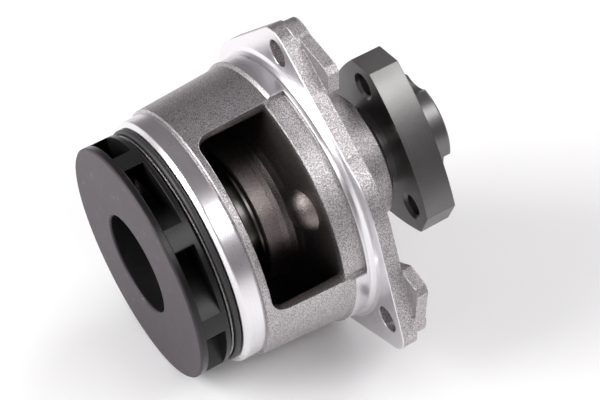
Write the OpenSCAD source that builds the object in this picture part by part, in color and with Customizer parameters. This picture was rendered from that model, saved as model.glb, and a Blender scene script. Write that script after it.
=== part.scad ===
// Engine-driven coolant pump, cartridge type: a cast barrel with a side window goes into the
// engine block, a three-ear flange holds it, and a drive hub at the rear turns the impeller.
// Frame: +X along the pump axis towards the drive hub, +Z towards the top ear.
// The origin is on the axis, in the plane of the flange's mounting face.
// Angles round the axis are measured from +Z towards -Y.

/* [Barrel] */
// outside radius of the machined front band
band_r = 39.6; // [38.5:0.1:40]
// outside radius of the cast barrel just behind the band
barrel_front_r = 40.7; // [40.2:0.1:41.2]
// outside radius of the cast barrel near the flange
barrel_rear_r = 42.4; // [42:0.1:42.8]
// radius of the machined pilot beside the flange
pilot_r = 43.4; // [43.2:0.1:44]
// inside radius of the barrel
barrel_inner_r = 38.3; // [37.6:0.1:38.6]
// distance from the mounting face forward to the front end of the barrel
barrel_length = 45.1; // [44.8:0.1:46]
// inside radius of the front mouth
mouth_r = 32.8; // [32:0.1:33.4]

/* [Side window] */
// front edge of the window, forward of the mounting face
window_front = 33.2; // [32:0.1:34]
// rear edge of the window, forward of the mounting face
window_rear = 9.5; // [9:0.1:11]
// angle at which the window starts
window_start = 8; // [7:0.5:20]
// angle at which the window ends
window_end = 92.5; // [80:0.5:94]
// radius of the two front corners of the window
window_corner_r = 5.2; // [2:0.1:6]

/* [Flange] */
// flange thickness
flange_t = 5; // [4.5:0.1:6]
// radius of the round part of the flange
flange_r = 46; // [45.6:0.1:47]
// distance from the axis to each ear's hole
ear_hole_pos = 51; // [50:0.1:52]
// radius of each ear's tip
ear_r = 7.6; // [7.2:0.1:8.4]
// radius of the holes in the ears
ear_hole_r = 4.3; // [4:0.1:4.5]
// thickness of the bosses and pry lugs behind the ears, added to the flange
lug_t = 3.7; // [3:0.1:5]
// angles of the three ears
ear_angles = [0, 114, 237];
// how far each ear's tip is beside its hole, and above it
tip_shifts = [[1, 0], [-2.5, 1.5], [0, 0.5]];
// angles of the ears that carry a pry lug, each with the side the lug is on
lug_sides = [[0, -1], [114, 1]];

/* [Neck and bearing] */
// outside radius of the neck at its rear end
neck_r = 20.5; // [20:0.1:22]
// distance from the mounting face back to the end of the neck
neck_end = 22; // [20:0.1:23]
// outside radius of the bearing's outer ring
bearing_r = 15; // [14.5:0.1:15.5]
// radius of the shaft
shaft_r = 7.96; // [7.9:0.01:8]
// number of balls
ball_count = 8; // [7:1:8]
// number of rollers
roller_count = 11; // [9:1:11]

/* [Impeller] */
// outside radius of the impeller
impeller_r = 37.5; // [36:0.1:38]
// radius of the deep cup in the front disc
cup_r = 16; // [14:0.1:17]
// thickness of the front disc
disc_t = 2.4; // [2:0.1:3]
// number of vanes
vane_count = 8; // [6:1:9]
// vane thickness
vane_t = 4; // [2.4:0.1:4.4]
// radius of the vane's arc
vane_arc_r = 26; // [24:0.5:32]

/* [Drive hub] */
// thickness of the drive plate
plate_t = 10.2; // [9:0.1:12]
// distance from the axis to the middle of each arched side
side_bulge = 23.5; // [23:0.1:24]
// radius of the arched sides
side_arc_r = 73.5; // [65:0.5:90]
// distance from the axis to each corner flat
corner_flat = 30.5; // [29:0.1:32]
// distance from the axis to each threaded hole
hub_hole_pos = 23.1; // [22.5:0.1:23.5]
// core radius of the threaded holes
hub_hole_r = 3.5; // [3.3:0.05:3.6]
// radius of the round nose
nose_r = 16.4; // [15:0.1:17]
// length of the nose behind the plate
nose_length = 8.4; // [6:0.1:9]
// angle of the first hub hole
hub_angle = -3; // [-10:1:10]

/* [Hidden] */
band_front = -42.27;
band_rear = -35.4;
impeller_front = -56;
vane_front = impeller_front + disc_t;
vane_rear = -47.4;
shroud_rear = -45.7;
shroud_inner_r = 24.5;
vane_angle = -3;
hub_cup_r = cup_r + 2.2;
cup_floor_front = -43.6;
cup_floor_rear = -40.6;
insert_front = -44.6;
insert_rear = -33.2;
insert_r = 11;
tube_r = 22;
tube_front = -23;
plate_front = 27.2;
plate_rear = plate_front + plate_t;
nose_rear = plate_rear + nose_length;
bearing_front = -10.5;
bearing_rear = 23.6;
ball_x = -2.2;
ball_r = 3;
ball_ring_r = 10.23;
roller_x = 11.6;
roller_r = 2;
roller_length = 9;
race_r = 12.5;
shoulder = [14.5, 13];
shoulder_r = 28.8;
boss_r = 7.5;
boss_angle = 60;
relief_r = barrel_rear_r - 0.8;
spring_r = 15.4;
spring_wire_r = 0.6;
spring_pitch = 2;
spring_start = -22.3;
fine = 96;

// turns a profile of [radius, x] points round the pump axis
module turn(profile) {
    rotate([0, 90, 0])
        rotate_extrude($fn = fine)
            polygon(profile);
}

// a round bar along X
module bar(x0, x1, r) {
    translate([x0, 0, 0])
        rotate([0, 90, 0])
            cylinder(h = x1 - x0, r = r, $fn = fine);
}

// a plain ring along X
module ring(x0, x1, r_in, r_out) {
    turn([[r_in, x0], [r_out, x0], [r_out, x1], [r_in, x1]]);
}

// extrudes a flat shape, drawn in Y and Z, along X
module slab(x0, x1) {
    translate([x0, 0, 0])
        rotate([90, 0, 90])
            linear_extrude(x1 - x0)
                children();
}

// a radial bar at angle a, from radius r0 to radius r1
module spoke(x, a, r0, r1, r) {
    rotate([a, 0, 0])
        translate([x, 0, r0])
            cylinder(h = r1 - r0, r = r, $fn = 48);
}

// outline of one ear: a round tip, with a shoulder on one side and a straight run on the other
module ear_outline(a, shift) {
    tip = [shift[0], ear_hole_pos + shift[1]];
    lean = acos((shoulder_r - ear_r) / norm(tip - shoulder)) + atan2(tip[0] - shoulder[0], tip[1] - shoulder[1]);
    back = atan2(tip[0], tip[1]) - acos((flange_r - ear_r) / norm(tip));
    // the straight sides lie just inside the tangents, so that they cross the arcs
    inset = 0.03;
    rotate(a) {
        translate(tip)
            circle(ear_r, $fn = 64);
        translate(shoulder)
            circle(shoulder_r, $fn = fine);
        polygon([
            [0, 0],
            (flange_r - inset) * [sin(back), cos(back)],
            tip + (ear_r - inset) * [sin(back), cos(back)],
            tip + (ear_r - inset) * [sin(lean), cos(lean)],
            shoulder + (shoulder_r - inset) * [sin(lean), cos(lean)]
        ]);
    }
}

// outline of the whole flange
module flange_outline() {
    circle(flange_r, $fn = fine);
    for (i = [0:2])
        ear_outline(ear_angles[i], tip_shifts[i]);
}

// outline of a pry lug beside an ear; side is 1 towards +Y when the ear is at the top
module lug_outline(side) {
    polygon([
        [-side * 2, 58.3],
        [side * 17.6, 54.3],
        [side * 19.4, 52.3],
        [side * 18.2, 45.2],
        [side * 9, 38.5],
        [-side * 2, 40],
        [-side * 6.5, 47]
    ]);
}

// flange plate, ear bosses and pry lugs, before drilling
module flange() {
    slab(0, flange_t)
        flange_outline();
    for (a = ear_angles)
        slab(flange_t - 1, flange_t + lug_t)
            rotate(a)
                translate([0, ear_hole_pos])
                    circle(ear_r, $fn = 64);
    for (lug = lug_sides)
        slab(flange_t, flange_t + lug_t)
            rotate(lug[0])
                lug_outline(lug[1]);
}

// the turned outside of the barrel, with the seal groove, the band and the pilot
module barrel_outside() {
    turn([
        [0, -barrel_length],
        [36.3, -barrel_length],
        [36.6, -barrel_length + 0.3],
        [36.6, -44.6],
        [35.6, -44.4],
        [35.6, band_front],
        [38.2, band_front],
        [band_r - 0.15, band_front + 1],
        [band_r, band_front + 1.4],
        [band_r, band_rear - 0.4],
        [band_r - 0.4, band_rear],
        [barrel_front_r, band_rear + 0.25],
        [barrel_rear_r, -8.2],
        [pilot_r, -7.2],
        [pilot_r, -2.3],
        [pilot_r - 0.3, -2],
        [pilot_r - 0.1, -1.4],
        [pilot_r + 0.7, -0.5],
        [pilot_r + 1.9, 0],
        [pilot_r + 1.9, 1],
        [0, 1]
    ]);
}

// the neck behind the flange
module neck() {
    turn([
        [0, 0],
        [28.5, 0],
        [28.5, flange_t],
        [26.2, flange_t + 0.5],
        [24.2, flange_t + 1.7],
        [22.8, flange_t + 3.6],
        [22.2, flange_t + 6],
        [neck_r + 0.2, neck_end - 0.9],
        [neck_r - 0.7, neck_end],
        [0, neck_end]
    ]);
}

// the seal tube inside the barrel
module seal_tube() {
    turn([
        [0, tube_front],
        [tube_r - 0.6, tube_front],
        [tube_r, tube_front + 0.6],
        [tube_r, -17.5],
        [tube_r + 0.5, -15.7],
        [tube_r + 1.7, -14.1],
        [tube_r + 4, -12.7],
        [30, -11.5],
        [36.2, -10.3],
        [relief_r - 0.4, -window_rear - 0.05],
        [relief_r - 0.4, 0],
        [0, 0]
    ]);
}

// the water space inside the barrel
module water_space() {
    turn([
        [0, -barrel_length - 1],
        [mouth_r + 0.6, -barrel_length - 1],
        [mouth_r + 0.6, -barrel_length],
        [mouth_r, -barrel_length + 0.6],
        [mouth_r, -38.2],
        [mouth_r + 0.6, -37.2],
        [barrel_inner_r - 1.2, -33.8],
        [barrel_inner_r, -32.2],
        [barrel_inner_r, -2],
        [0, -2]
    ]);
}

// a wedge from the axis outwards between two angles, as a flat shape
module sector(a0, a1, r) {
    polygon([
        [0, 0],
        [-r * sin(a0), r * cos(a0)],
        [-r * sin((a0 * 3 + a1) / 4), r * cos((a0 * 3 + a1) / 4)],
        [-r * sin((a0 + a1) / 2), r * cos((a0 + a1) / 2)],
        [-r * sin((a0 + a1 * 3) / 4), r * cos((a0 + a1 * 3) / 4)],
        [-r * sin(a1), r * cos(a1)]
    ]);
}

// one end of the side window, cut straight in, with a round corner at the front
module window_end(a, side) {
    front = -window_front + 0.06;
    rotate([a, 0, 0])
        translate([0, 0, 30])
            linear_extrude(30) {
                translate([front + window_corner_r, 0])
                    circle(window_corner_r, $fn = 48);
                polygon([
                    [front + window_corner_r, 0],
                    [front + window_corner_r, side * window_corner_r],
                    [0, side * window_corner_r],
                    [0, 0]
                ]);
                polygon([
                    [front, 0],
                    [0, 0],
                    [0, -side * 14],
                    [front, -side * 14]
                ]);
            }
}

// the side window
module window_cut() {
    corner_a = asin(window_corner_r / 41);
    intersection() {
        bar(-barrel_length, -window_rear, 55);
        union() {
            window_end(window_start + corner_a, 1);
            window_end(window_end - corner_a, -1);
            slab(-window_front, 0)
                sector(window_start + 15, window_end - 15, 60);
        }
    }
}

// shallow cast relief between the window and the flange
module window_relief() {
    intersection() {
        slab(-window_rear - 0.5, -2.9)
            sector(window_start, window_end, 60);
        ring(-window_rear - 1, -2.5, relief_r, 50);
    }
}

// the bearing bore, the seal bore and the chamber between them
module bores() {
    bar(bearing_front, neck_end + 1, bearing_r + 0.02);
    turn([[0, neck_end - 0.8], [bearing_r, neck_end - 0.8], [bearing_r + 0.9, neck_end + 0.1], [0, neck_end + 0.1]]);
    bar(-12.6, bearing_front, 12.5);
    bar(tube_front - 1, -12.6, 18.25);
    turn([[0, tube_front - 0.1], [19, tube_front - 0.1], [18.2, tube_front + 0.7], [0, tube_front + 0.7]]);
}

// drain passage from the chamber behind the shaft seal to the open air under the neck
module weep_passage() {
    rotate([180, 0, 0])
        translate([-13.4, 0, 11])
            rotate([0, 66, 0])
                cylinder(h = 34, r = 1.9, $fn = 32);
}

// lightening pockets in the rear of the flange, with ribs left between them
module rear_pockets() {
    difference() {
        turn([[31, -3], [37.5, -3], [38.5, flange_t + 1], [30, flange_t + 1]]);
        for (a = [0:45:315])
            rotate([a + 22.5, 0, 0])
                translate([-4, -1.6, 0])
                    cube([flange_t + 6, 3.2, 60]);
    }
}

module housing() {
    color([0.66, 0.66, 0.68])
        difference() {
            union() {
                difference() {
                    union() {
                        barrel_outside();
                        flange();
                    }
                    water_space();
                    window_cut();
                    window_relief();
                }
                seal_tube();
                cast_boss();
                neck();
            }
            bores();
            weep_passage();
            rear_pockets();
            for (a = ear_angles)
                rotate([a, 0, 0])
                    translate([0, 0, ear_hole_pos])
                        bar(-1, flange_t + lug_t + 1, ear_hole_r);
        }
}

// rounded cast boss on the wall behind the window, beside the seal tube
module cast_boss() {
    rotate([boss_angle, 0, 0])
        translate([-8.2, 0, 28.6])
            sphere(r = boss_r, $fn = fine);
}

module front_o_ring() {
    color([0.06, 0.06, 0.06])
        rotate([0, 90, 0])
            translate([0, 0, -43.3])
                rotate_extrude($fn = fine)
                    translate([36.83, 0])
                        circle(1.02, $fn = 32);
}

module bearing_outer_ring() {
    color([0.62, 0.63, 0.65])
        difference() {
            turn([
                [race_r, bearing_front],
                [bearing_r - 0.5, bearing_front],
                [bearing_r, bearing_front + 0.5],
                [bearing_r, bearing_rear - 0.5],
                [bearing_r - 0.5, bearing_rear],
                [race_r, bearing_rear]
            ]);
            rotate([0, 90, 0])
                translate([0, 0, ball_x])
                    rotate_extrude($fn = fine)
                        translate([ball_ring_r, 0])
                            circle(ball_r + 0.28, $fn = 48);
            ring(bearing_front + 0.6, bearing_front + 2.2, 10, race_r + 0.5);
            ring(bearing_rear - 2.2, bearing_rear - 0.6, 10, race_r + 0.5);
        }
}

// a bearing lip seal: a disc with a thin lip that runs just clear of the shaft
module lip_seal(x) {
    turn([
        [shaft_r + 0.3, x + 0.5],
        [shaft_r + 1.4, x + 0.1],
        [race_r - 1.2, x + 0.1],
        [race_r + 0.45, x + 0.1],
        [race_r + 0.45, x + 1.5],
        [race_r - 1.2, x + 1.5],
        [shaft_r + 1.6, x + 1.1],
        [shaft_r + 0.3, x + 0.9]
    ]);
}

module bearing_front_seal() {
    color([0.1, 0.09, 0.08])
        lip_seal(bearing_front + 0.6);
}

module bearing_rear_seal() {
    color([0.1, 0.09, 0.08])
        lip_seal(bearing_rear - 2.2);
}

module bearing_balls() {
    color([0.75, 0.76, 0.78])
        for (i = [0:ball_count - 1])
            rotate([i * 360 / ball_count, 0, 0])
                translate([ball_x, 0, ball_ring_r])
                    sphere(r = ball_r, $fn = 48);
}

module ball_cage() {
    color([0.78, 0.72, 0.55])
        difference() {
            ring(ball_x - 3.9, ball_x + 3.9, 9.4, 11.2);
            for (i = [0:ball_count - 1])
                spoke(ball_x, i * 360 / ball_count, 6, 14, ball_r + 0.15);
        }
}

module bearing_rollers() {
    color([0.75, 0.76, 0.78])
        for (i = [0:roller_count - 1])
            rotate([i * 360 / roller_count, 0, 0])
                translate([0, 0, ball_ring_r])
                    bar(roller_x - roller_length / 2, roller_x + roller_length / 2, roller_r);
}

module roller_cage() {
    half = roller_length / 2 + 0.2;
    color([0.78, 0.72, 0.55])
        difference() {
            ring(roller_x - half - 1.6, roller_x + half + 1.6, 9.4, 11.2);
            for (i = [0:roller_count - 1])
                rotate([i * 360 / roller_count, 0, 0])
                    translate([roller_x - half, -roller_r - 0.12, 5])
                        cube([half * 2, roller_r * 2 + 0.24, 9]);
        }
}

module seal_cup() {
    color([0.72, 0.66, 0.5])
        turn([
            [17.2, -26.2],
            [18, -26.2],
            [18, -23.9],
            [20.6, -23.9],
            [20.6, -23.1],
            [18.2, -23.1],
            [18.2, -13.4],
            [10.2, -13.4],
            [10.2, -14.2],
            [17.4, -14.2],
            [17.4, -24.2],
            [17.2, -24.4]
        ]);
}

module seal_bellows() {
    color([0.07, 0.07, 0.07])
        turn([
            [9.2, -15.6],
            [17.3, -15.6],
            [17.3, -14.3],
            [9.2, -14.3],
            [9.2, -17.4],
            [10.6, -19.2],
            [9.4, -21.2],
            [10.6, -23.2],
            [9.6, -24.6],
            [14.4, -24.6],
            [14.4, -23.4],
            [11.6, -23.4],
            [10.5, -21.2],
            [11.6, -19.2],
            [10.2, -17.2]
        ]);
}

// one half turn of the spring, tilted so that it climbs by half a pitch
module half_coil(x, side) {
    tilt = atan(spring_pitch / 4 / spring_r);
    translate([x, 0, 0])
        rotate([0, side * tilt, 0])
            mirror([0, side > 0 ? 0 : 1, 0])
                rotate([0, 90, 0])
                    rotate_extrude(angle = 180, $fn = fine)
                        translate([spring_r, 0])
                            circle(spring_wire_r, $fn = 24);
}

module seal_spring() {
    color([0.7, 0.7, 0.72]) {
        for (i = [0:2]) {
            half_coil(spring_start + (i + 0.25) * spring_pitch, 1);
            half_coil(spring_start + (i + 0.75) * spring_pitch, -1);
        }
        for (i = [0:6])
            translate([spring_start + i * spring_pitch / 2, 0, i % 2 == 0 ? -spring_r : spring_r])
                sphere(r = spring_wire_r + 0.03, $fn = 32);
    }
}

module spring_collar() {
    color([0.72, 0.66, 0.5])
        turn([
            [14.6, -26],
            [15.3, -26],
            [15.3, -23.6],
            [16.4, -23.6],
            [16.4, -23],
            [14.6, -23]
        ]);
}

module carbon_ring() {
    color([0.15, 0.15, 0.16])
        turn([
            [9.4, -24.7],
            [14.4, -24.7],
            [14.4, -27.6],
            [12.4, -27.6],
            [12.4, -28.6],
            [9.8, -28.6],
            [9.4, -28.2]
        ]);
}

module ceramic_seat() {
    color([0.86, 0.84, 0.78])
        ring(-31.4, -28.75, 9.6, 13.6);
}

module seat_boot() {
    color([0.07, 0.07, 0.07])
        turn([
            [shaft_r + 0.02, -32.6],
            [14.6, -32.6],
            [14.6, -29.2],
            [13.65, -29.2],
            [13.65, -31.45],
            [9.55, -31.45],
            [9.55, -29],
            [shaft_r + 0.02, -29]
        ]);
}

module seat_ring() {
    color([0.72, 0.66, 0.5])
        turn([
            [shaft_r + 0.02, -33.1],
            [15.3, -33.1],
            [15.3, -28.6],
            [14.65, -28.6],
            [14.65, -32.65],
            [shaft_r + 0.02, -32.65]
        ]);
}

module shaft() {
    color([0.7, 0.71, 0.73])
        difference() {
            turn([
                [0, insert_front],
                [shaft_r - 0.8, insert_front],
                [shaft_r, insert_front + 0.8],
                [shaft_r, nose_rear - 2.3],
                [shaft_r - 0.8, nose_rear - 1.5],
                [0, nose_rear - 1.5]
            ]);
            rotate([0, 90, 0])
                translate([0, 0, ball_x])
                    rotate_extrude($fn = fine)
                        translate([ball_ring_r, 0])
                            circle(ball_r + 0.28, $fn = 48);
            turn([[0, nose_rear - 4.5], [1.6, nose_rear - 4.5], [3.2, nose_rear - 1], [0, nose_rear - 1]]);
        }
}

// the deep cup in the middle of the front disc
module impeller_front_disc() {
    color([0.42, 0.38, 0.41])
        turn([
            [cup_r, impeller_front + 0.4],
            [cup_r + 0.4, impeller_front],
            [impeller_r - 0.4, impeller_front],
            [impeller_r, impeller_front + 0.4],
            [impeller_r, vane_front],
            [hub_cup_r, vane_front],
            [hub_cup_r, cup_floor_rear + 0.6],
            [hub_cup_r - 0.8, cup_floor_rear],
            [insert_r + 0.02, cup_floor_rear],
            [insert_r + 0.02, cup_floor_front],
            [cup_r - 0.8, cup_floor_front],
            [cup_r, cup_floor_front - 0.8]
        ]);
}

// one vane as a flat shape: a slice of an arc that sweeps from the cup out to the rim
module vane_outline() {
    reach = sqrt(vane_arc_r * vane_arc_r - 165);
    intersection() {
        translate([5.6 - 0.8988 * reach, 25.85 - 0.4358 * reach])
            difference() {
                circle(vane_arc_r + vane_t / 2, $fn = 96);
                circle(vane_arc_r - vane_t / 2, $fn = 96);
            }
        translate([-6, 10])
            square([24, 34]);
    }
}

module impeller_vane_body() {
    color([0.07, 0.07, 0.075])
        union() {
            intersection() {
                slab(vane_front, vane_rear + 0.2)
                    for (i = [0:vane_count - 1])
                        rotate(i * 360 / vane_count + vane_angle)
                            vane_outline();
                ring(vane_front, vane_rear + 0.2, hub_cup_r + 0.02, impeller_r - 0.1);
            }
            turn([
                [shroud_inner_r + 0.5, vane_rear],
                [impeller_r - 0.1, vane_rear],
                [impeller_r - 0.1, shroud_rear - 0.3],
                [impeller_r - 0.4, shroud_rear],
                [shroud_inner_r, shroud_rear],
                [shroud_inner_r, vane_rear + 0.5]
            ]);
        }
}

module impeller_insert() {
    color([0.62, 0.63, 0.65])
        difference() {
            turn([
                [shaft_r, insert_front + 0.4],
                [shaft_r + 0.4, insert_front],
                [insert_r - 0.4, insert_front],
                [insert_r, insert_front + 0.4],
                [insert_r, insert_rear - 0.4],
                [insert_r - 0.4, insert_rear],
                [shaft_r + 0.02, insert_rear],
                [shaft_r + 0.02, insert_front + 0.5]
            ]);
            bar(insert_front - 1, insert_rear + 1, shaft_r + 0.02);
        }
}

// outline of the drive plate: three cut corners and three arched sides
module plate_outline() {
    intersection_for(k = [0:2])
        rotate(hub_angle + k * 120) {
            intersection() {
                translate([-60, -60])
                    square([120, 60 + corner_flat]);
                rotate(60)
                    translate([0, side_bulge - side_arc_r])
                        circle(side_arc_r, $fn = 180);
            }
        }
}

module drive_hub() {
    color([0.4, 0.39, 0.4])
        difference() {
            union() {
                slab(plate_front, plate_rear)
                    plate_outline();
                turn([
                    [0, 24.4],
                    [12.6, 24.4],
                    [13.2, 25],
                    [13.2, plate_front + 1],
                    [0, plate_front + 1]
                ]);
                turn([
                    [0, plate_rear - 1],
                    [nose_r + 0.9, plate_rear - 1],
                    [nose_r + 0.9, plate_rear],
                    [nose_r + 0.3, plate_rear + 0.3],
                    [nose_r, plate_rear + 1],
                    [nose_r, nose_rear - 0.6],
                    [nose_r - 0.6, nose_rear],
                    [0, nose_rear]
                ]);
            }
            bar(24, nose_rear + 1, shaft_r + 0.02);
            turn([[0, nose_rear - 1.2], [shaft_r + 0.1, nose_rear - 1.2], [shaft_r + 1.4, nose_rear + 0.1], [0, nose_rear + 0.1]]);
            for (k = [0:2])
                rotate([hub_angle + k * 120, 0, 0])
                    translate([0, 0, hub_hole_pos]) {
                        bar(plate_front - 1, plate_rear + 1, hub_hole_r);
                        turn([[0, plate_front - 0.1], [4.6, plate_front - 0.1], [hub_hole_r - 0.1, plate_front + 1.1], [0, plate_front + 1.1]]);
                        bar(plate_rear, nose_rear + 1, 9.4);
                    }
        }
}

housing();
front_o_ring();
bearing_outer_ring();
bearing_front_seal();
bearing_rear_seal();
bearing_balls();
ball_cage();
bearing_rollers();
roller_cage();
seal_cup();
seal_bellows();
seal_spring();
spring_collar();
carbon_ring();
ceramic_seat();
seat_boot();
seat_ring();
shaft();
impeller_front_disc();
impeller_vane_body();
impeller_insert();
drive_hub();
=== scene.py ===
"""Looks of an engine coolant pump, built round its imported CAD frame.

Row frame, metres: +X runs along the pump axis to the drive hub, +Z to the top ear, and the
origin is on the axis in the plane of the flange's mounting face.
"""
import math

import bpy
from mathutils import Matrix, Vector


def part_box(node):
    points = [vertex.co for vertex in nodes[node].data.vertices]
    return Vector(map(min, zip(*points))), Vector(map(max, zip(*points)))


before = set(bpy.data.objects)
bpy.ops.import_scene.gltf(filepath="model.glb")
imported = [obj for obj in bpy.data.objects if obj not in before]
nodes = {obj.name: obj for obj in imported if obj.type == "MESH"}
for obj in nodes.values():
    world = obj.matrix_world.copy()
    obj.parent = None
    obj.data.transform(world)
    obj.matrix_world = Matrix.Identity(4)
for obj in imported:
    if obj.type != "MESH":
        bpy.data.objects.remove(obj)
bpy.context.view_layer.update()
MM = 0.001

# Sizes that the materials and the floor need, worked out from the CAD frame
impeller_low, impeller_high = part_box("impeller_front_disc")
IMPELLER_FRONT = impeller_low.x
IMPELLER_R = impeller_high.z
FLANGE_DROP = -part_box("housing")[0].z

# Where the housing is machined, as places along the axis and radii
BAND_REAR_X = -35.4 * MM
BAND_INNER_R = 37.45 * MM
PILOT_FRONT_X = -7.0 * MM
PILOT_REAR_X = 0.3 * MM
PILOT_INNER_R = 42.9 * MM
FACE_DEPTH = 0.4 * MM
NECK_END_X = 21.85 * MM
SHARP = 0.05 * MM

# The unmachined inner wall of the barrel, from its front shoulder to the flange wall, where the cast
# colour is darkened as painted shade
INSIDE_FRONT_X = -34.0 * MM
INSIDE_REAR_X = -9.3 * MM
INSIDE_R = 38.0 * MM
SKIN_R = 41.2 * MM


class Graph:
    """A material's node tree, built with short calls."""

    def __init__(self, name):
        self.material = bpy.data.materials.new(name)
        self.material.use_nodes = True
        self.tree = self.material.node_tree
        self.tree.nodes.clear()
        self.place = self.node("ShaderNodeTexCoord").outputs["Object"]

    def node(self, kind, **settings):
        made = self.tree.nodes.new(kind)
        for key, value in settings.items():
            setattr(made, key, value)
        return made

    def put(self, socket, value):
        """Sets a socket to a constant, or links it to another socket."""
        if isinstance(value, bpy.types.NodeSocket):
            self.tree.links.new(value, socket)
        else:
            socket.default_value = value

    def math(self, operation, a, b=0.0, clamp=False):
        made = self.node("ShaderNodeMath", operation=operation, use_clamp=clamp)
        self.put(made.inputs[0], a)
        self.put(made.inputs[1], b)
        return made.outputs[0]

    def split(self, vector):
        made = self.node("ShaderNodeSeparateXYZ")
        self.put(made.inputs[0], vector)
        return made.outputs

    def join(self, x, y, z):
        made = self.node("ShaderNodeCombineXYZ")
        for socket, value in zip(made.inputs, (x, y, z)):
            self.put(socket, value)
        return made.outputs[0]

    def rise(self, value, start, end):
        """0 below start and 1 above end, with a smooth rise between them."""
        made = self.node("ShaderNodeMapRange", interpolation_type="SMOOTHSTEP")
        self.put(made.inputs["Value"], value)
        made.inputs["From Min"].default_value = start
        made.inputs["From Max"].default_value = end
        return made.outputs[0]

    def between(self, value, low, high, soft):
        """1 from low to high, 0 outside, with edges this soft."""
        up = self.rise(value, low - soft, low + soft)
        down = self.rise(value, high - soft, high + soft)
        return self.math("SUBTRACT", up, down, clamp=True)

    def noise(self, vector, scale, detail=3.0, roughness=0.55):
        made = self.node("ShaderNodeTexNoise")
        self.put(made.inputs["Vector"], vector)
        made.inputs["Scale"].default_value = scale
        made.inputs["Detail"].default_value = detail
        made.inputs["Roughness"].default_value = roughness
        return made.outputs[0]

    def cells(self, vector, scale):
        made = self.node("ShaderNodeTexVoronoi", feature="SMOOTH_F1")
        self.put(made.inputs["Vector"], vector)
        made.inputs["Scale"].default_value = scale
        return made.outputs["Distance"]

    def span(self, value, low, high):
        """Takes 0..1 to low..high."""
        made = self.node("ShaderNodeMapRange")
        self.put(made.inputs["Value"], value)
        self.put(made.inputs["To Min"], low)
        self.put(made.inputs["To Max"], high)
        return made.outputs[0]

    def blend(self, share, a, b):
        """A colour from a to b by share."""
        made = self.node("ShaderNodeMix", data_type="RGBA")
        self.put(made.inputs["Factor"], share)
        self.put(made.inputs["A"], a)
        self.put(made.inputs["B"], b)
        return made.outputs["Result"]

    def bump(self, height, depth, strength=1.0, normal=None):
        made = self.node("ShaderNodeBump")
        self.put(made.inputs["Height"], height)
        made.inputs["Distance"].default_value = depth
        self.put(made.inputs["Strength"], strength)
        if normal is not None:
            self.put(made.inputs["Normal"], normal)
        return made.outputs[0]

    def soft_edges(self, radius):
        made = self.node("ShaderNodeBevel", samples=4)
        made.inputs["Radius"].default_value = radius
        return made.outputs[0]

    def finish(self, colour, roughness, metallic, normal=None, **constants):
        """Adds the shader, with colour, roughness and normal from nodes and the rest constant."""
        shader = self.node("ShaderNodeBsdfPrincipled")
        self.put(shader.inputs["Base Color"], colour)
        self.put(shader.inputs["Roughness"], roughness)
        self.put(shader.inputs["Metallic"], metallic)
        if normal is not None:
            self.put(shader.inputs["Normal"], normal)
        for name, value in constants.items():
            shader.inputs[name.replace("_", " ")].default_value = value
        output = self.node("ShaderNodeOutputMaterial")
        self.tree.links.new(shader.outputs[0], output.inputs["Surface"])
        return self.material


def grey(value, warm=0.0):
    """A grey, with red raised and blue lowered by the share called warm."""
    return (value * (1 + warm), value, value * (1 - warm), 1.0)


def round_place(g):
    """The place along the pump axis and the radius from it, at each point."""
    x, y, z = g.split(g.place)
    radius = g.math("SQRT", g.math("ADD", g.math("MULTIPLY", y, y), g.math("MULTIPLY", z, z)))
    return x, radius


def turned_marks(g, x, radius):
    """Tool marks of a lathe: fine rings that don't change round the axis."""
    return g.noise(g.join(x, radius, 0.0), 3500.0, 2.0, 0.6)


def machined_places(g, x, radius):
    """1 on the housing's machined band, pilot, flange face and neck end, 0 on the rest."""
    backward = g.math("MULTIPLY", x, -1.0)
    band = g.math("MULTIPLY", g.rise(backward, -BAND_REAR_X - SHARP, -BAND_REAR_X + SHARP),
                  g.rise(radius, BAND_INNER_R - SHARP, BAND_INNER_R + SHARP))
    pilot = g.math("MULTIPLY", g.between(x, PILOT_FRONT_X, PILOT_REAR_X, SHARP),
                   g.rise(radius, PILOT_INNER_R - SHARP, PILOT_INNER_R + SHARP))
    facing = g.split(g.node("ShaderNodeNewGeometry").outputs["True Normal"])
    forward = g.math("MULTIPLY", facing[0], -1.0)
    face = g.math("MULTIPLY", g.rise(forward, 0.95, 0.99), g.between(x, -FACE_DEPTH, FACE_DEPTH, SHARP))
    neck_end = g.rise(x, NECK_END_X - SHARP, NECK_END_X + SHARP)
    return g.math("MAXIMUM", g.math("MAXIMUM", band, pilot), g.math("MAXIMUM", face, neck_end))


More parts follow.
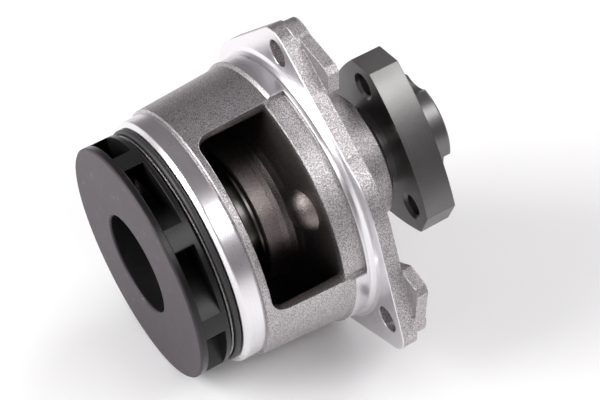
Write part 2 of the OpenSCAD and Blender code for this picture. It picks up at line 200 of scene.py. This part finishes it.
def housing_material():
    """Cast aluminium, machined on the band, the pilot, the flange face and the neck's end."""
    g = Graph("cast_and_machined_aluminium")
    x, radius = round_place(g)
    machined = machined_places(g, x, radius)
    inward = g.math("MULTIPLY", radius, -1.0)
    # mask for painted shade: 1 on the unmachined wall within the barrel, 0 elsewhere
    painted_shade_inside = g.math("MULTIPLY", g.between(x, INSIDE_FRONT_X, INSIDE_REAR_X, 2 * SHARP),
                    g.rise(inward, -SKIN_R, -INSIDE_R))

    # the skin of the casting: fine pebbles, with darker oxide in the hollows and a soft mottle, and
    # painted shade darkening the barrel's inner wall
    pebbles = g.noise(g.place, 3200.0, 2.0, 0.5)
    pits = g.cells(g.place, 2400.0)
    mottle = g.noise(g.place, 160.0, 4.0, 0.6)
    relief = g.math("ADD", g.math("MULTIPLY", pebbles, 0.75), g.math("MULTIPLY", pits, 0.3))
    skin = g.rise(relief, 0.34, 0.66)
    cast_colour = g.blend(skin, (0.2, 0.185, 0.19, 1), (0.7, 0.67, 0.68, 1))
    cast_colour = g.blend(g.span(mottle, 0.0, 0.35), cast_colour, (0.46, 0.42, 0.42, 1))
    # painted shade: the cast colour darkened within the barrel, where the hollow lies in shadow
    cast_colour = g.blend(g.math("MULTIPLY", painted_shade_inside, 0.75), cast_colour, (0.2, 0.165, 0.15, 1))
    cast_rough = g.span(pebbles, 0.28, 0.46)

    # the cut surfaces: bright, with faint rings left by the tool and small smears
    rings = turned_marks(g, x, radius)
    smears = g.noise(g.place, 260.0, 4.0, 0.6)
    cut_colour = g.blend(rings, (0.74, 0.72, 0.74, 1), (0.86, 0.85, 0.87, 1))
    cut_rough = g.math("ADD", g.span(rings, 0.24, 0.3), g.span(smears, -0.02, 0.06))

    colour = g.blend(machined, cast_colour, cut_colour)
    rough = g.span(machined, cast_rough, cut_rough)
    height = g.math("MULTIPLY", skin, g.math("SUBTRACT", 1.0, machined))
    normal = g.bump(height, 0.045 * MM, 1.0, g.soft_edges(0.45 * MM))
    normal = g.bump(g.math("MULTIPLY", rings, machined), 0.0015 * MM, 1.0, normal)
    return g.finish(colour, rough, 1.0, normal)


def turned_steel(name, light, dark, rough):
    """Turned steel, with fine rings round the pump axis."""
    g = Graph(name)
    x, radius = round_place(g)
    rings = turned_marks(g, x, radius)
    smears = g.noise(g.place, 90.0, 3.0)
    colour = g.blend(rings, grey(dark, 0.02), grey(light, 0.015))
    rough_here = g.math("ADD", g.span(smears, rough - 0.06, rough + 0.08), g.span(rings, -0.03, 0.03))
    normal = g.bump(rings, 0.003 * MM, 1.0, g.soft_edges(0.3 * MM))
    return g.finish(colour, rough_here, 1.0, normal)


def impeller_material():
    """Glass-filled plastic: a dull mottled front face, and black, glossier passages."""
    g = Graph("impeller_plastic")
    backward = g.math("MULTIPLY", g.split(g.place)[0], -1.0)
    face = g.rise(backward, -IMPELLER_FRONT - 1.0 * MM, -IMPELLER_FRONT - 0.6 * MM)
    fibres = g.noise(g.place, 2200.0, 3.0, 0.6)
    smears = g.noise(g.place, 70.0, 4.0, 0.6)
    stain = g.noise(g.place, 320.0, 3.0, 0.6)
    dull = g.blend(smears, (0.014, 0.01, 0.0135, 1), (0.05, 0.037, 0.047, 1))
    dull = g.blend(g.rise(stain, 0.58, 0.78), dull, (0.085, 0.07, 0.081, 1))
    glossy = g.blend(fibres, grey(0.004), grey(0.012))
    colour = g.blend(face, glossy, dull)
    rough = g.blend(face, g.span(fibres, 0.22, 0.4), g.span(smears, 0.42, 0.6))
    normal = g.bump(fibres, 0.03 * MM, 1.0, g.soft_edges(0.35 * MM))
    return g.finish(colour, rough, 0.0, normal, Specular_IOR_Level=0.35)


def rubber_material():
    """Dull black rubber with a little dust on it."""
    g = Graph("seal_rubber")
    dust = g.noise(g.place, 1500.0, 3.0)
    colour = g.blend(dust, grey(0.012), grey(0.03))
    normal = g.bump(dust, 0.01 * MM)
    return g.finish(colour, g.span(dust, 0.4, 0.6), 0.0, normal)


def plain_material(name, colour, rough, metallic):
    """A finely speckled surface of one colour, for the small inner pieces."""
    g = Graph(name)
    speckle = g.noise(g.place, 1200.0, 3.0)
    darker = tuple(v * 0.8 for v in colour[:3]) + (1.0,)
    shade = g.blend(speckle, darker, colour)
    normal = g.bump(speckle, 0.01 * MM)
    return g.finish(shade, g.span(speckle, rough - 0.05, rough + 0.07), metallic, normal)


def dress(material, *names):
    """Gives CAD nodes their material."""
    for name in names:
        mesh = nodes[name].data
        mesh.materials.clear()
        mesh.materials.append(material)


dress(housing_material(), "housing")
dress(impeller_material(), "impeller_front_disc", "impeller_vane_body")
dress(rubber_material(), "front_o_ring", "bearing_front_seal", "bearing_rear_seal",
      "seal_bellows", "seat_boot")
dress(turned_steel("hub_steel", 0.24, 0.16, 0.34), "drive_hub", "impeller_insert")
dress(turned_steel("bearing_steel", 0.7, 0.55, 0.2), "shaft", "bearing_outer_ring",
      "bearing_balls", "bearing_rollers")
dress(plain_material("pressed_steel", (0.16, 0.15, 0.14, 1), 0.3, 1.0), "seal_cup", "seal_spring",
      "spring_collar", "seat_ring")
dress(plain_material("cage_plastic", (0.75, 0.68, 0.5, 1), 0.5, 0.0), "ball_cage", "roller_cage")
dress(plain_material("carbon", (0.05, 0.05, 0.055, 1), 0.45, 0.0), "carbon_ring")
dress(plain_material("ceramic", (0.82, 0.8, 0.74, 1), 0.25, 0.0), "ceramic_seat")

# The bench: the pump lies on the flange's front edge and the impeller's front rim
drop = FLANGE_DROP - IMPELLER_R
tilt = math.atan2(drop, -IMPELLER_FRONT)
up = Vector((math.sin(tilt), 0.0, math.cos(tilt)))
along = Vector((math.cos(tilt), 0.0, -math.sin(tilt)))
GAP = 0.25 * MM
BENCH_HALF = 3.0


def bench():
    """A sheet of pale paper, far wider than the picture."""
    touch = Vector((0.0, 0.0, -FLANGE_DROP)) - up * GAP
    side = Vector((0.0, 1.0, 0.0))
    signs = ((-1, -1), (1, -1), (1, 1), (-1, 1))
    corners = [touch + (along * a + side * b) * BENCH_HALF for a, b in signs]
    mesh = bpy.data.meshes.new("bench")
    mesh.from_pydata([tuple(c) for c in corners], [], [(0, 1, 2, 3)])
    table = bpy.data.objects.new("bench", mesh)
    bpy.context.scene.collection.objects.link(table)
    g = Graph("bench_paper")
    mottle = g.noise(g.place, 40.0)
    colour = g.blend(mottle, grey(0.96), grey(0.98))
    table.data.materials.append(g.finish(colour, 0.6, 0.0, Specular_IOR_Level=0.2))


bench()


def softbox(name, direction, distance, width, depth, power):
    """An area light that looks at the pump from this direction."""
    light = bpy.data.lights.new(name, "AREA")
    light.shape = "RECTANGLE"
    light.size = width
    light.size_y = depth
    light.energy = power
    lamp = bpy.data.objects.new(name, light)
    way = Vector(direction).normalized()
    lamp.location = way * distance
    lamp.rotation_euler = way.to_track_quat("Z", "Y").to_euler()
    bpy.context.scene.collection.objects.link(lamp)


softbox("front_softbox", (0.27, -0.63, 0.73), 0.8, 0.75, 0.26, 2.8)
softbox("left_softbox", (-0.9, 0.2, 0.6), 0.9, 0.6, 0.6, 11.0)
softbox("right_softbox", (0.9, 0.45, 0.55), 0.9, 0.6, 0.6, 4.0)

world = bpy.data.worlds.new("studio")
bpy.context.scene.world = world
world.use_nodes = True
backdrop = world.node_tree.nodes["Background"]
backdrop.inputs["Color"].default_value = (1.0, 0.92, 0.98, 1.0)
backdrop.inputs["Strength"].default_value = 0.19


def camera():
    """A long lens, a little under 40 degrees above the bench, from the impeller's side."""
    lens = bpy.data.cameras.new("camera")
    lens.sensor_width = 36.0
    lens.lens = 108.0
    lens.clip_start = 0.01
    viewer = bpy.data.objects.new("camera", lens)
    right = Vector((0.8448, -0.5240, -0.1093))
    upward = Vector((0.4320, 0.5468, 0.7174))
    back = right.cross(upward).normalized()
    place = Vector((-0.1746, -0.3610, 0.3731))
    turn = Matrix((right, upward, back)).transposed().to_4x4()
    viewer.matrix_world = Matrix.Translation(place) @ turn
    bpy.context.scene.collection.objects.link(viewer)
    bpy.context.scene.camera = viewer


camera()
bpy.context.scene.view_settings.view_transform = "Standard"
